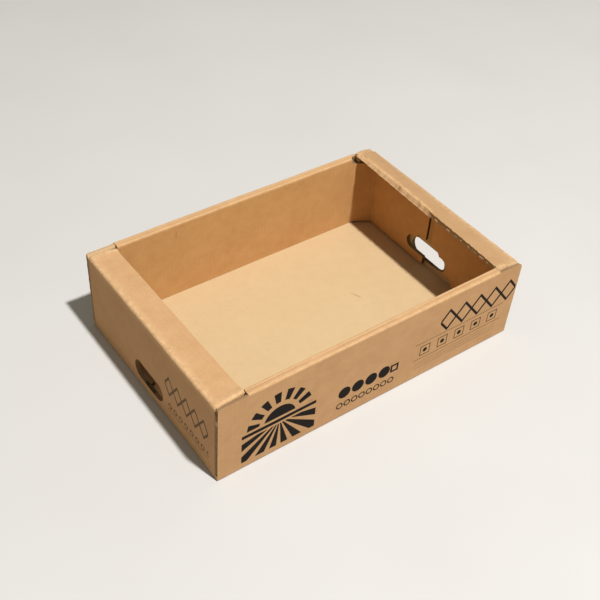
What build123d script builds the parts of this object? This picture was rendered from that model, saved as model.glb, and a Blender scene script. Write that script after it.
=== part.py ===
"""Cardboard tray box, 600 x 400 mm, folded from one die-cut sheet of double-wall board.

The origin is the centre of the underside. +X runs along the tray, +Y goes to the back long wall
and +Z is up. The sheet is followed fold by fold: the base, the two long walls that roll over a
doubled crease, the corner columns and glued flaps that continue their inner panels, the end
walls with their hand holes, and the shelves that fold in from the end walls and are tucked down.
The flutes run across the tray, so a cut along them is an open slot between the papers.
"""
import os

from build123d import *

# Sheet
board = 7.0                    # double-wall board: two fluted layers between three papers
paper = 0.6                    # each paper, as thick as it looks at a raw edge
wide_flute = 3.2               # fluted layer next to the outer paper
flute_slot_depth = 5.0         # how far a raw edge along the flutes is open
fold_radius = 3.2              # outside of the sharp creases, at the base and the rims
shelf_radius = 5.0             # outside of the softer creases round a shelf
crease_radius = 1.5            # inside of the slight creases beside a corner column
layer_gap = 0.6                # air between the two panels of a long wall

# Outside of the tray
tray_length = 600.0
tray_width = 400.0
end_height = 157.0             # top of the end walls, where the shelves fold in
rim_step = 5.0                 # the rolled rims stand this much higher
bare_edge_step = 1.8           # and so does the raw top of a long wall beside a shelf
bare_corner_radius = 3.0
front_worn_radius = 8.0        # the corners at the right are worn round
back_worn_radius = 14.0

# Shelves over the ends, each with a lug at both sides
shelf_width = 50.0
shelf_clearance = 1.8          # slit between a shelf and the end of a rim
# How far each shelf has sprung above its fold, at its front side, middle and back side
left_halfway_rises = (1.5, 0.0, -1.0)
left_edge_rises = (4.0, 0.0, -3.5)
right_halfway_rises = (2.5, 6.0, 12.5)
right_edge_rises = (4.0, 11.0, 11.0)
# How far its raw free edge has spread open at the same places, or is crushed
left_edge_spreads = (0.5, 0.5, 0.5)
right_edge_spreads = (0.5, 4.0, -2.5)
crushed_from = -20.0           # behind here the right free edge shows no open flutes
lug_depth = 24.0
lug_inner_taper = 24.0         # the lug's inner side slants clear of the column
lug_outer_taper = 6.0
lug_inset = 1.0

# Corner columns, and the flaps glued inside the end walls
column_depth = 21.4            # a column's slanted panel crosses this much of the width
flap_drop = 9.0                # the columns and flaps stop this far below the shelves' folds
relief_radius = 5.0            # rounded relief where rim, column and shelf meet
torn_relief_radius = 10.0      # the one at the back right is torn wider
torn_relief_offset = 4.0
seam_offset = 8.0              # the flaps meet this far behind the middle
seam_gap = 4.0
corner_gap = 0.8               # between an end wall and the long wall beside it

# Hand holes
hole_length = 90.0
hole_height = 38.0
hole_centre_height = 36.0
hole_offset = 4.5              # the holes sit this far behind the middle
flap_hole_length = 108.0
flap_hole_height = 29.0        # the flaps' holes are low at both ends
flap_hole_floor = 27.0
flap_hole_rise = 12.0          # and rise to a hump in the middle
flap_hump_length = 86.0
flap_hump_angle = 56.0
flap_hump_radius = 5.0
missing_strip_height = 27.5    # the front flap has no strip below its half of the hole
missing_strip_length = 74.0

# Places worked out from the sizes above
half_length = tray_length / 2
half_width = tray_width / 2
rim_width = 2 * board + layer_gap
rim_height = end_height + rim_step
bare_edge_height = end_height + bare_edge_step
flap_height = end_height - flap_drop
shelf_edge = half_length - shelf_width
rim_end = shelf_edge - shelf_clearance
end_panel_face = half_length - board
flap_face = half_length - 2 * board
side_panel_face = half_width - board
inner_face = half_width - rim_width
column_side = inner_face - column_depth
narrow_flute = board - 3 * paper - wide_flute
narrow_slot_offset = paper + wide_flute + paper


def side_plane(y):
    """Upright plane across the tray's width at y, with its sketch axes along X and Z."""
    return Plane.XZ.offset(-y)


def long_wall(side):
    """Outer panel, rim and inner panel of a long wall, as far as the rim goes."""
    with BuildPart() as wall:
        # The outer panel is as long as the tray and has a raw top edge beside the shelves
        with BuildSketch(side_plane(side * half_width)) as panel:
            with Locations((0, bare_edge_height / 2)):
                Rectangle(tray_length, bare_edge_height)
            left_corner = panel.vertices().group_by(Axis.Y)[-1].sort_by(Axis.X)[0]
            fillet(left_corner, bare_corner_radius)
            right_corner = panel.vertices().group_by(Axis.Y)[-1].sort_by(Axis.X)[-1]
            fillet(right_corner, back_worn_radius if side > 0 else front_worn_radius)
        extrude(amount=side * board)

        # It rolls over a doubled crease and comes down again inside
        with BuildSketch(Plane.YZ) as section:
            with Locations((side * (half_width - rim_width / 2), rim_height / 2)):
                Rectangle(rim_width, rim_height)
            fillet(section.vertices().group_by(Axis.Y)[-1], fold_radius)
            gap_height = rim_height - 2 * board
            with Locations((side * (side_panel_face - layer_gap / 2), board + gap_height / 2)):
                Rectangle(layer_gap, gap_height, mode=Mode.SUBTRACT)
        extrude(amount=rim_end, both=True)

        # Rounded relief in the inner panel at both ends of the rim
        with BuildSketch(side_plane(side * inner_face)):
            with Locations(
                (shelf_edge, flap_height + relief_radius),
                (-shelf_edge, flap_height + relief_radius),
            ):
                Circle(relief_radius)
            if side > 0:
                with Locations((shelf_edge - torn_relief_offset, flap_height + torn_relief_radius)):
                    Circle(torn_relief_radius)
        extrude(amount=-side * board, mode=Mode.SUBTRACT)
    return wall.part


def flute_slots(side, end):
    """Open flutes in the raw upright end of a long wall's outer panel."""
    slot_height = bare_edge_height - board - fold_radius
    with BuildPart() as slots:
        with BuildSketch(Plane.YZ.offset(end * half_length)):
            for offset_in, width in ((paper, wide_flute), (narrow_slot_offset, narrow_flute)):
                slot_middle = half_width - offset_in - width / 2
                with Locations((side * slot_middle, bare_edge_height - slot_height / 2)):
                    Rectangle(width, slot_height)
        extrude(amount=-end * flute_slot_depth)
    return slots.part


def column_and_flaps(side):
    """Inner panel of a long wall, folded on through both corner columns into the end flaps."""
    seam = seam_offset + side * seam_gap / 2
    with BuildPart() as flaps:
        with BuildSketch(Plane.XY.offset(board)):
            with BuildLine():
                FilletPolyline(
                    (flap_face, seam),
                    (flap_face, side * column_side),
                    (shelf_edge, side * inner_face),
                    (-shelf_edge, side * inner_face),
                    (-flap_face, side * column_side),
                    (-flap_face, seam),
                    radius=crease_radius,
                )
                offset(amount=board, side=Side.RIGHT if side > 0 else Side.LEFT, closed=True)
            make_face()
        extrude(amount=flap_height - board)

        # Each flap is cut out round the hand hole
        for end in (-1, 1):
            with BuildSketch(Plane.YZ.offset(end * flap_face)) as hole:
                with Locations((hole_offset, flap_hole_floor + flap_hole_height / 2)):
                    SlotOverall(flap_hole_length, flap_hole_height)
                    Trapezoid(
                        flap_hump_length,
                        flap_hole_height / 2 + flap_hole_rise,
                        flap_hump_angle,
                        align=(Align.CENTER, Align.MIN),
                    )
                fillet(hole.vertices().group_by(Axis.Y)[-1], flap_hump_radius)
                if side < 0:
                    with Locations((seam, board)):
                        Rectangle(
                            missing_strip_length,
                            missing_strip_height - board,
                            align=(Align.MAX, Align.MIN),
                        )
            extrude(amount=end * board, mode=Mode.SUBTRACT)
    return flaps.part


def end_wall(end):
    """End wall between the long walls, with a crease at its top and a hand hole."""
    with BuildPart() as wall:
        with BuildSketch(Plane.YZ.offset(end * half_length)) as face:
            with Locations((0, end_height / 2)):
                Rectangle(2 * (side_panel_face - corner_gap), end_height)
            fillet(face.vertices().group_by(Axis.Y)[-1], shelf_radius + corner_gap)
            with Locations((hole_offset, hole_centre_height)):
                SlotOverall(hole_length, hole_height, mode=Mode.SUBTRACT)
        extrude(amount=-end * board)
        outer_edges = wall.edges().filter_by_position(
            Axis.X, end * half_length, end * half_length
        )
        top_edges = outer_edges.filter_by_position(
            Axis.Z, end_height - shelf_radius, end_height, inclusive=(False, True)
        )
        fillet(top_edges, shelf_radius)
    return wall.part


def heights_below(rises, drops):
    """Heights at a shelf's front side, middle and back side, this far below its upper paper."""
    return [end_height + rise - drop for rise, drop in zip(rises, drops)]


def part_way(first, second, share):
    """Values that lie this share of the way from the first ones to the second ones."""
    return [a + share * (b - a) for a, b in zip(first, second)]


def bowed_strip(x, half_span, upper, lower):
    """Upright section of a shelf at x, between curves through three heights each."""
    upper_crown = 2 * upper[1] - (upper[0] + upper[2]) / 2
    lower_crown = 2 * lower[1] - (lower[0] + lower[2]) / 2
    with BuildSketch(Plane.YZ.offset(x)) as section:
        with BuildLine():
            Bezier((-half_span, upper[0]), (0, upper_crown), (half_span, upper[2]))
            Line((half_span, upper[2]), (half_span, lower[2]))
            Bezier((half_span, lower[2]), (0, lower_crown), (-half_span, lower[0]))
            Line((-half_span, lower[0]), (-half_span, upper[0]))
        make_face()
    return section.sketch


def shelf(end, halfway_rises, edge_rises, edge_spreads, slots_stop):
    """Shelf folded in from the end wall, with its lugs and the open flutes of its free edge."""
    fold_line = half_length - shelf_radius
    halfway = (fold_line + shelf_edge) / 2
    slot_span = side_panel_face - shelf_radius
    slot_floor = shelf_edge + flute_slot_depth
    slot_share = flute_slot_depth / (halfway - shelf_edge)
    flat = (0, 0, 0)
    halfway_spreads = part_way(edge_spreads, flat, 0.5)
    with BuildPart() as flange:
        loft([
            bowed_strip(
                end * x,
                side_panel_face,
                heights_below(rises, flat),
                heights_below(rises, [board + spread for spread in spreads]),
            )
            for x, rises, spreads in (
                (fold_line, flat, flat),
                (halfway, halfway_rises, halfway_spreads),
                (shelf_edge, edge_rises, edge_spreads),
            )
        ])
        long_edges = flange.edges().filter_by(lambda edge: edge.length > 2 * board)
        front_edges = long_edges.group_by(Axis.Y)[0]
        back_edges = long_edges.group_by(Axis.Y)[-1]
        upper_edges = [front_edges.sort_by(Axis.Z)[-1], back_edges.sort_by(Axis.Z)[-1]]
        fillet(upper_edges, shelf_radius)

        # Open flutes along the free edge
        with BuildPart(mode=Mode.PRIVATE) as slots:
            for first in (True, False):
                strips = []
                for x, share in ((shelf_edge, 0), (slot_floor, slot_share)):
                    rises = part_way(edge_rises, halfway_rises, share)
                    spreads = part_way(edge_spreads, halfway_spreads, share)
                    wide_slot = [wide_flute + spread for spread in spreads]
                    drops = [paper] * 3 if first else [2 * paper + width for width in wide_slot]
                    widths = wide_slot if first else [narrow_flute] * 3
                    floors = [drop + width for drop, width in zip(drops, widths)]
                    strips.append(bowed_strip(
                        end * x, slot_span, heights_below(rises, drops), heights_below(rises, floors)
                    ))
                loft(strips)
            if slots_stop is not None:
                split(bisect_by=side_plane(slots_stop), keep=Keep.TOP)
        add(slots.part, mode=Mode.SUBTRACT)

        # Lugs tucked down inside the long walls
        lug_root = end_height - shelf_radius
        lug_tip = end_height - lug_depth
        root_inner = shelf_edge + lug_inset
        root_outer = end_panel_face - lug_inset
        for side, rise in ((-1, edge_rises[0]), (1, edge_rises[-1])):
            with BuildSketch(side_plane(side * side_panel_face)):
                with BuildLine():
                    Polyline(
                        (end * root_inner, lug_root + rise),
                        (end * root_outer, lug_root),
                        (end * (root_outer - lug_outer_taper), lug_tip),
                        (end * (root_inner + lug_inner_taper), lug_tip),
                        close=True,
                    )
                make_face()
            extrude(amount=side * board)
    return flange.part


with BuildPart() as tray:
    # Base
    with BuildSketch():
        Rectangle(tray_length, tray_width)
    extrude(amount=board)

    for side in (-1, 1):
        add(long_wall(side))
        add(column_and_flaps(side))
        for end in (-1, 1):
            add(flute_slots(side, end), mode=Mode.SUBTRACT)
    for end in (-1, 1):
        add(end_wall(end))
    add(shelf(-1, left_halfway_rises, left_edge_rises, left_edge_spreads, None))
    add(shelf(1, right_halfway_rises, right_edge_rises, right_edge_spreads, crushed_from))

    # The base turns up into all four walls
    fillet(tray.edges().group_by(Axis.Z)[0], fold_radius)

tray.part.label = "tray"

os.makedirs("parts", exist_ok=True)
export_step(tray.part, "parts/tray.step")
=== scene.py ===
# %% [markdown]
# # A cardboard tray box, folded from one sheet
#
# The real tray is one die-cut sheet of double-wall corrugated board: two wavy layers between three
# flat papers, 7 mm thick. It could be modelled as a box with walls of 7 mm, but then its rims,
# shelves and corners would look carved. So this lesson works as the maker does. It cuts the
# blank flat, gives it thickness, punches the holes, and only then folds it up.

# %% Load the frame
import math

import bmesh
import bpy
import numpy as np
from mathutils import Matrix, Vector, noise


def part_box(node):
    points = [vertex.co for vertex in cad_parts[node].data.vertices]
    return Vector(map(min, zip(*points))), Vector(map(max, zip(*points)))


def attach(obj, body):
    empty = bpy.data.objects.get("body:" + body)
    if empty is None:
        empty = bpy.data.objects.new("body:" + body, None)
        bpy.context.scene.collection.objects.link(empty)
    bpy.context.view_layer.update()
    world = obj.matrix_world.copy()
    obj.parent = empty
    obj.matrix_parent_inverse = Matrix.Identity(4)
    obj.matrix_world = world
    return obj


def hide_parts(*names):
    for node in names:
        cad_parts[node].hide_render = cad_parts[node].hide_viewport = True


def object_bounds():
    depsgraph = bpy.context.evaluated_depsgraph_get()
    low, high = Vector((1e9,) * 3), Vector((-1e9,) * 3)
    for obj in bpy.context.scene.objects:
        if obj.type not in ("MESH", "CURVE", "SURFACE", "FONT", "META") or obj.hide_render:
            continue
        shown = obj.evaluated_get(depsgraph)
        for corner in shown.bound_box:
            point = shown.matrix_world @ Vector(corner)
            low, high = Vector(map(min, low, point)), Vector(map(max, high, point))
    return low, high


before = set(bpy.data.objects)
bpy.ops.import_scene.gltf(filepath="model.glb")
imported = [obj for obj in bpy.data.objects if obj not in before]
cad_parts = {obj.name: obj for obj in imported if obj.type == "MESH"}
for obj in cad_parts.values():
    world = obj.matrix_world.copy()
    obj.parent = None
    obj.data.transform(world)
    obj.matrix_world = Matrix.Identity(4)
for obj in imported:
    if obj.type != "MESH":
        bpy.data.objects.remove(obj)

cad_box = [list(corner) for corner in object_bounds()]
bpy.ops.object.select_all(action="DESELECT")
print("solid model's box", cad_box)

# %% [markdown]
# ## Sizes
#
# The frame gives how long and wide the tray is. The other sizes are the maker's: how thick the
# board and its layers are, and how sharply each crease bends. They are all in metres.

# %% Sizes of the board and the tray
MM = 0.001
board = 7.0 * MM
paper = 0.6 * MM
wide_flute = 3.2 * MM
narrow_flute = board - 3 * paper - wide_flute
wide_pitch = 7.9 * MM
narrow_pitch = 6.4 * MM

half_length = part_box("tray")[1].x
half_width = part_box("tray")[1].y
end_height = 157.0 * MM
rim_height = 162.0 * MM
flap_height = 148.0 * MM
rim_width = 14.6 * MM
shelf_width = 50.0 * MM
rim_to_shelf = 1.8 * MM
rim_end = half_length - shelf_width - rim_to_shelf

fold_radius = 3.2 * MM
shelf_radius = 5.0 * MM
crease_radius = 1.5 * MM
bare_height = rim_height - fold_radius
print("tray", 2 * half_length, "by", 2 * half_width, "m, bare edges at", bare_height)

# %% [markdown]
# ## Lines of the flat blank
#
# A fold takes up a little of the sheet: a right angle round a radius r uses an arc of r times
# half of pi. Adding panels and arcs from the middle of the base outwards gives each crease its
# place on the flat blank. Along x come the end wall and its shelf. Along y come the outer panel,
# the rim and the inner panel, and beside the inner panel the slanted column and the end flap.

# %% Creases of the flat blank
quarter_turn = math.pi / 2
base_x = half_length - fold_radius
base_y = half_width - fold_radius
end_line = base_x + quarter_turn * fold_radius
shelf_line = end_line + end_height - fold_radius - shelf_radius
shelf_start = shelf_line + quarter_turn * shelf_radius
shelf_end = shelf_start + shelf_width - shelf_radius

wall_line = base_y + quarter_turn * fold_radius
rim_line = wall_line + bare_height - fold_radius
rim_top = rim_width - 2 * fold_radius
rim_middle = rim_line + quarter_turn * fold_radius
rim_fold = rim_middle + rim_top
inner_line = rim_fold + quarter_turn * fold_radius
floor_gap = 0.5 * MM
inner_end = inner_line + bare_height - board - floor_gap
flap_line = inner_line + bare_height - flap_height

# The slanted column goes from the inner panel to the end flap
column_x = half_length - shelf_width
column_depth = 21.4 * MM
glue_gap = 0.1 * MM
flap_face = half_length - 2 * board - glue_gap
inner_y = half_width - rim_width
column_angle = math.atan2(column_depth, flap_face - column_x)
column_slant = math.hypot(column_depth, flap_face - column_x)
first_tangent = crease_radius * math.tan(column_angle / 2)
second_tangent = crease_radius * math.tan((quarter_turn - column_angle) / 2)
column_line = column_x - first_tangent
column_start = column_line + crease_radius * column_angle
column_end = column_start + column_slant - first_tangent - second_tangent
flap_start = column_end + crease_radius * (quarter_turn - column_angle)
flap_y = inner_y - column_depth - second_tangent
seam_y = 8.0 * MM
seam_gap = 5.0 * MM

side_gap = 0.8 * MM
lug_length = 19.0 * MM
end_span = half_width - board - side_gap
lug_line = end_span - shelf_radius
lug_reach = lug_line + quarter_turn * shelf_radius + lug_length
print("blank", 2 * shelf_end, "by", 2 * inner_end)

# %% [markdown]
# ## Picking by place
#
# Operators act on what is selected. This helper selects vertices, edges or faces in edit mode by
# testing where their middle is, which does by rule what a hand does with box select.

# %% Helpers for edit mode
def edit(piece):
    bpy.ops.object.select_all(action="DESELECT")
    piece.select_set(True)
    bpy.context.view_layer.objects.active = piece
    bpy.ops.object.mode_set(mode="EDIT")


def leave_edit():
    bpy.ops.object.mode_set(mode="OBJECT")


def pick(piece, kind, test):
    """Select the vertices, edges or faces whose middle (and normal) pass the test."""
    bpy.ops.mesh.select_mode(type=kind)
    bpy.ops.mesh.select_all(action="DESELECT")
    mesh = bmesh.from_edit_mesh(piece.data)
    found = 0
    for item in {"VERT": mesh.verts, "EDGE": mesh.edges, "FACE": mesh.faces}[kind]:
        if kind == "VERT":
            middle = item.co
        elif kind == "EDGE":
            middle = (item.verts[0].co + item.verts[1].co) / 2
        else:
            middle = item.calc_center_median()
        normal = item.normal if kind == "FACE" else None
        if test(middle, normal):
            item.select_set(True)
            found += 1
    mesh.select_flush_mode()
    bmesh.update_edit_mesh(piece.data)
    return found


def push(x=0.0, y=0.0, z=0.0):
    """Extrude what is selected, by this much."""
    bpy.ops.mesh.extrude_region_move(TRANSFORM_OT_translate={"value": (x, y, z)})


def cut(axis, places):
    """Cut the whole piece straight across, at each place on the axis."""
    for place in places:
        point, normal = Vector((0, 0, 0)), Vector((0, 0, 0))
        point[axis], normal[axis] = place, 1
        bpy.ops.mesh.select_all(action="SELECT")
        bpy.ops.mesh.bisect(plane_co=point, plane_no=normal)


# %% [markdown]
# ## The blank
#
# The base is a plane. Its edges are extruded outwards into panels, in the order in which they
# hang on each other, so that the outline of the die comes out by itself.

# %% Draw the blank
bpy.ops.mesh.primitive_plane_add(size=2, location=(0, 0, 0))
sheet = bpy.context.object
sheet.name = sheet.data.name = "folded_sheet"
sheet.scale = (base_x, base_y, 1)
bpy.ops.object.transform_apply(location=False, rotation=False, scale=True)

hair = 0.01 * MM
corner_line = half_width - board
edit(sheet)
cut(0, (-rim_end, rim_end))
cut(1, (-corner_line, -end_span, end_span, corner_line))
for end in (-1, 1):
    pick(sheet, "EDGE", lambda m, n: m.x * end > base_x - hair and abs(m.y) < end_span - hair)
    push(x=end * (shelf_end - base_x))
    for side in (-1, 1):
        pick(sheet, "EDGE",
             lambda m, n: base_x - hair < m.x * end < half_length and m.y * side > corner_line)
        push(x=end * fold_radius)
for side in (-1, 1):
    pick(sheet, "EDGE", lambda m, n: m.y * side > base_y - hair)
    push(y=side * (rim_line - base_y))
    pick(sheet, "EDGE", lambda m, n: m.y * side > rim_line - hair and abs(m.x) < rim_end - hair)
    push(y=side * (flap_line - rim_line))
    push(y=side * (inner_end - flap_line))
    for end in (-1, 1):
        flap_end = flap_start + flap_y + side * -seam_y - seam_gap / 2
        pick(sheet, "EDGE",
             lambda m, n: m.x * end > rim_end - hair and m.y * side > flap_line + hair)
        push(x=end * (flap_end - rim_end))
print("blank has", len(bmesh.from_edit_mesh(sheet.data).faces), "faces")

# %% Draw the lugs beside the shelves
lug_inner = shelf_end - 0.3 * MM
lug_outer = shelf_start - 2.0 * MM
lug_tapers = ((lug_inner, -5.0 * MM), (lug_outer, 8.0 * MM))
cut(0, (-lug_inner, -lug_outer, lug_outer, lug_inner))
for end in (-1, 1):
    for side in (-1, 1):
        pick(sheet, "EDGE",
             lambda m, n: lug_outer < m.x * end < lug_inner and abs(m.y * side - end_span) < hair)
        push(y=side * (lug_reach - end_span))
        for root, taper in lug_tapers:
            pick(sheet, "VERT",
                 lambda m, n: abs(m.x * end - root) < hair and abs(m.y * side - lug_reach) < hair)
            bpy.ops.transform.translate(value=(end * taper, 0, 0))
leave_edit()
print("blank with lugs has", len(sheet.data.polygons), "faces")

# %% [markdown]
# ## Board thickness, holes and notches
#
# A Solidify modifier makes the blank 7 mm thick. Down is the outer paper and up is the inner
# one. Holes are punched while it is flat, because there every cutter is a plain prism.

# %% Give the blank its thickness
thicken = sheet.modifiers.new("board", "SOLIDIFY")
thicken.thickness = board
thicken.offset = 1
bpy.ops.object.modifier_apply(modifier=thicken.name)
print("blank is", round(sheet.dimensions.z / MM, 2), "mm thick")


# %% Cutters for the holes
def punch(cutter):
    """Take the cutter out of the sheet."""
    bite = sheet.modifiers.new("punch", "BOOLEAN")
    bite.operation = "DIFFERENCE"
    bite.solver = "EXACT"
    bite.object = cutter
    bpy.ops.object.select_all(action="DESELECT")
    sheet.select_set(True)
    bpy.context.view_layer.objects.active = sheet
    bpy.ops.object.modifier_apply(modifier=bite.name)
    bpy.data.objects.remove(cutter)


def slot_cutter(x, y, half_run_x, half_run_y, radius):
    """A prism with round ends, the shape of a hand hole."""
    bpy.ops.mesh.primitive_cylinder_add(vertices=48, radius=radius, depth=4 * board,
                                        location=(x, y, 0))
    cutter = bpy.context.object
    bpy.ops.object.transform_apply(location=True, rotation=False, scale=False)
    edit(cutter)
    along_x, along_y = half_run_x > 0, half_run_y > 0
    for way in (-1, 1):
        if along_x or along_y:
            pick(cutter, "VERT",
                 lambda m, n: way * ((m.x - x) * along_x + (m.y - y) * along_y) > hair)
            bpy.ops.transform.translate(value=(way * half_run_x, way * half_run_y, 0))
    leave_edit()
    return cutter


hump_half_width = 43.1 * MM
hump_slope = 17.9 * MM
hump_rounding = 4.0 * MM


def hump_cutter(x, y, height):
    """A prism for the raised middle of a flap's hole, with its corners cut round."""
    bpy.ops.mesh.primitive_cube_add(size=1, location=(x, y + height / 2, 0))
    cutter = bpy.context.object
    cutter.scale = (2 * hump_half_width, abs(height), 4 * board)
    bpy.ops.object.transform_apply(location=True, rotation=False, scale=True)
    edit(cutter)
    for way in (-1, 1):
        pick(cutter, "VERT", lambda m, n: way * (m.x - x) > hair and (m.y - y) / height > 0.9)
        bpy.ops.transform.translate(value=(-way * hump_slope, 0, 0))
    pick(cutter, "EDGE", lambda m, n: (m.y - y) / height > 0.9 and abs(m.z) < hair)
    bpy.ops.mesh.bevel(offset=hump_rounding, offset_type="OFFSET", segments=4)
    leave_edit()
    return cutter


print("hump narrows to", round(2 * (hump_half_width - hump_slope) / MM, 1), "mm")

# %% Punch the holes
hole_y = 4.5 * MM
hole_line = end_line + 36.0 * MM - fold_radius
hole_half_run, hole_radius = 26.0 * MM, 19.0 * MM
flap_hole_line = inner_line + bare_height - 41.5 * MM
flap_hole_half_run, flap_hole_radius = 39.5 * MM, 14.5 * MM
hump_height = 26.5 * MM
# The back flap at the left has a larger hole, since only the dark inside shows through there
larger_lower, larger_by = 4.0 * MM, 5.5 * MM
relief_radius, torn_radius = 5.0 * MM, 10.0 * MM
strip_line = inner_line + bare_height - 27.5 * MM
strip_width = 74.0 * MM
strip_block = 0.1

for end in (-1, 1):
    punch(slot_cutter(end * hole_line, hole_y, 0, hole_half_run, hole_radius))
    for side in (-1, 1):
        lower, spare = (larger_lower, larger_by) if end < 0 < side else (0, 0)
        x = end * (flap_start + flap_y - side * hole_y)
        y = side * (flap_hole_line + lower)
        punch(slot_cutter(x, y, flap_hole_half_run + spare, 0, flap_hole_radius + spare))
        punch(hump_cutter(x, y, -side * hump_height))
        if (end, side) == (-1, 1):
            continue
        radius = torn_radius if (end, side) == (1, 1) else relief_radius
        relief_x = column_x - 0.4 * (radius - relief_radius)
        relief_line = inner_line + bare_height - flap_height - radius
        punch(slot_cutter(end * relief_x, side * relief_line, 0, 0, radius))

    # The front flap stops short of the base near the seam
    strip_start = flap_start + flap_y + seam_y - seam_gap / 2 - strip_width
    strip_x, strip_y = end * (strip_start + strip_block / 2), -(strip_line + strip_block / 2)
    bpy.ops.mesh.primitive_cube_add(size=strip_block, location=(strip_x, strip_y, 0))
    punch(bpy.context.object)
print("punched sheet has", len(sheet.data.polygons), "faces")

# %% [markdown]
# ## A grid to fold on
#
# A flat panel needs no inner edges, but a crease needs a few cuts to turn round, and paper that
# is slightly uneven needs a grid. Bisect cuts the sheet every 10 mm, and closer at the creases.
# It then splits the raw edges into their five layers: paper, wide flute, paper, narrow flute,
# paper.

# %% Cut the grid
def crease_places(start, radius, steps, squeeze):
    """Places of the cuts of one crease, with one before and one after it."""
    arc = quarter_turn * radius
    places = [start + arc * step / steps for step in range(steps + 1)]
    return [start - squeeze] + places + [start + arc + squeeze]


fold_squeeze = board - fold_radius
shelf_squeeze = board - shelf_radius
end_rows = (half_length - 1.2 * MM, half_length - 0.4 * MM)
rim_row, shelf_row, top_row = rim_end - 1.5 * MM, shelf_end - 5.0 * MM, rim_line - 1.0 * MM
x_places = (
    crease_places(base_x, fold_radius, 4, fold_squeeze)
    + crease_places(shelf_line, shelf_radius, 5, shelf_squeeze)
    + [column_line, column_start, column_end, (column_end + flap_start) / 2, flap_start]
    + [*end_rows, rim_row, shelf_row]
)
y_places = (
    crease_places(base_y, fold_radius, 4, fold_squeeze)
    + crease_places(rim_line, fold_radius, 4, fold_squeeze)
    + crease_places(rim_fold, fold_radius, 4, fold_squeeze)
    + crease_places(lug_line, shelf_radius, 5, 0)[1:-1]
    + [top_row]
)
step = 10.0 * MM
too_near = 0.2 * step
for axis, places, reach in ((0, x_places, shelf_end), (1, y_places, inner_end)):
    regular = [step * count for count in range(1, int(reach / step) + 1)]
    kept = [place for place in regular if min(abs(place - p) for p in places) > too_near]
    both = sorted([0.0] + kept + [-p for p in kept] + places + [-p for p in places])
    edit(sheet)
    cut(axis, both)
    leave_edit()
edit(sheet)
layers = (paper, paper + wide_flute, 2 * paper + wide_flute, board - paper)
cut(2, layers)
leave_edit()
print("grid has", len(sheet.data.polygons), "faces")

# %% Cut the raw edges finer
long_enough = 3 * MM
near_row = 0.1 * MM + hair
edit(sheet)
bpy.ops.mesh.select_mode(type="EDGE")
bpy.ops.mesh.select_all(action="DESELECT")
mesh = bmesh.from_edit_mesh(sheet.data)
fine = 0
for edge in mesh.edges:
    one, other = edge.verts[0].co, edge.verts[1].co
    middle, run = (one + other) / 2, other - one
    x, y = abs(middle.x), abs(middle.y)
    along_x = abs(run.x) > long_enough and abs(run.y) < hair
    along_y = abs(run.y) > long_enough and abs(run.x) < hair
    at_shelf = along_y and x > shelf_row - near_row and y < lug_line
    at_end = along_y and end_rows[0] - near_row < x < half_length + hair and y > wall_line
    at_top = along_x and x > rim_end and top_row - near_row < y < rim_line + hair
    if at_shelf or at_end or at_top:
        edge.select_set(True)
        fine += 1
bmesh.update_edit_mesh(sheet.data)
bpy.ops.mesh.subdivide(number_cuts=3)
leave_edit()
print("fine cuts on", fine, "edges, now", len(sheet.data.polygons), "faces")

# %% [markdown]
# ## Open flutes at the raw edges
#
# The waves run along y. A raw edge along them shows two open slots between the papers, so those
# faces are extruded 8 mm inwards, and 1 mm at the shelves' edges. At the bare tops beside the
# shelves the cut crosses the waves: there a shallow recess is made, and ribbons of the wavy layer
# are set into it later.

# %% Which faces are open
crushed_from = -20.0 * MM
seam_from = flap_start + 100 * MM
bridge_from, bridge_to = wall_line + 121 * MM, wall_line + 130 * MM


def in_flute(z):
    return paper < z < paper + wide_flute or 2 * paper + wide_flute < z < board - paper


def slotted(m):
    """Raw edges along the flutes that can be seen."""
    x, y = abs(m.x), abs(m.y)
    outer_end = x > half_length - hair and wall_line + board < y < rim_line - MM
    # A bit of paper still bridges the slot at the front left
    bridge = m.x < 0 and m.y < 0 and bridge_from < y < bridge_to
    shelf_edge = x > shelf_end - hair and (m.x < 0 or m.y < crushed_from)
    seam = x > seam_from and y > flap_line
    on_end_wall = end_line < x < shelf_line and y < end_span
    hand_hole = on_end_wall and abs(x - hole_line) > hole_radius - 0.1 * MM
    return (outer_end and not bridge) or shelf_edge or seam or hand_hole


def at_shelf(m):
    return abs(m.x) > shelf_end - hair


def crushed_flat(m):
    """The narrow flute of the right shelf is pressed shut."""
    return m.x > shelf_end - hair and m.z > paper + wide_flute


print("right shelf is crushed from y", round(crushed_from / MM), "mm to its back end")

# %% Open the slots
slot_depth = 8.0 * MM
shelf_slot_depth = 1.0 * MM
recess = 0.6 * MM
edit(sheet)
for way in (-1, 1):
    for depth, where in ((slot_depth, lambda m: not at_shelf(m)), (shelf_slot_depth, at_shelf)):
        found = pick(sheet, "FACE", lambda m, n: n.x * way > 0.99 and in_flute(m.z)
                     and slotted(m) and where(m) and not crushed_flat(m))
        push(x=-way * depth)
        print("slot faces", found)
for side in (-1, 1):
    pick(sheet, "FACE",
         lambda m, n: n.y * side > 0.99 and in_flute(m.z) and abs(m.y * side - rim_line) < hair)
    push(y=-side * recess)
leave_edit()
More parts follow.
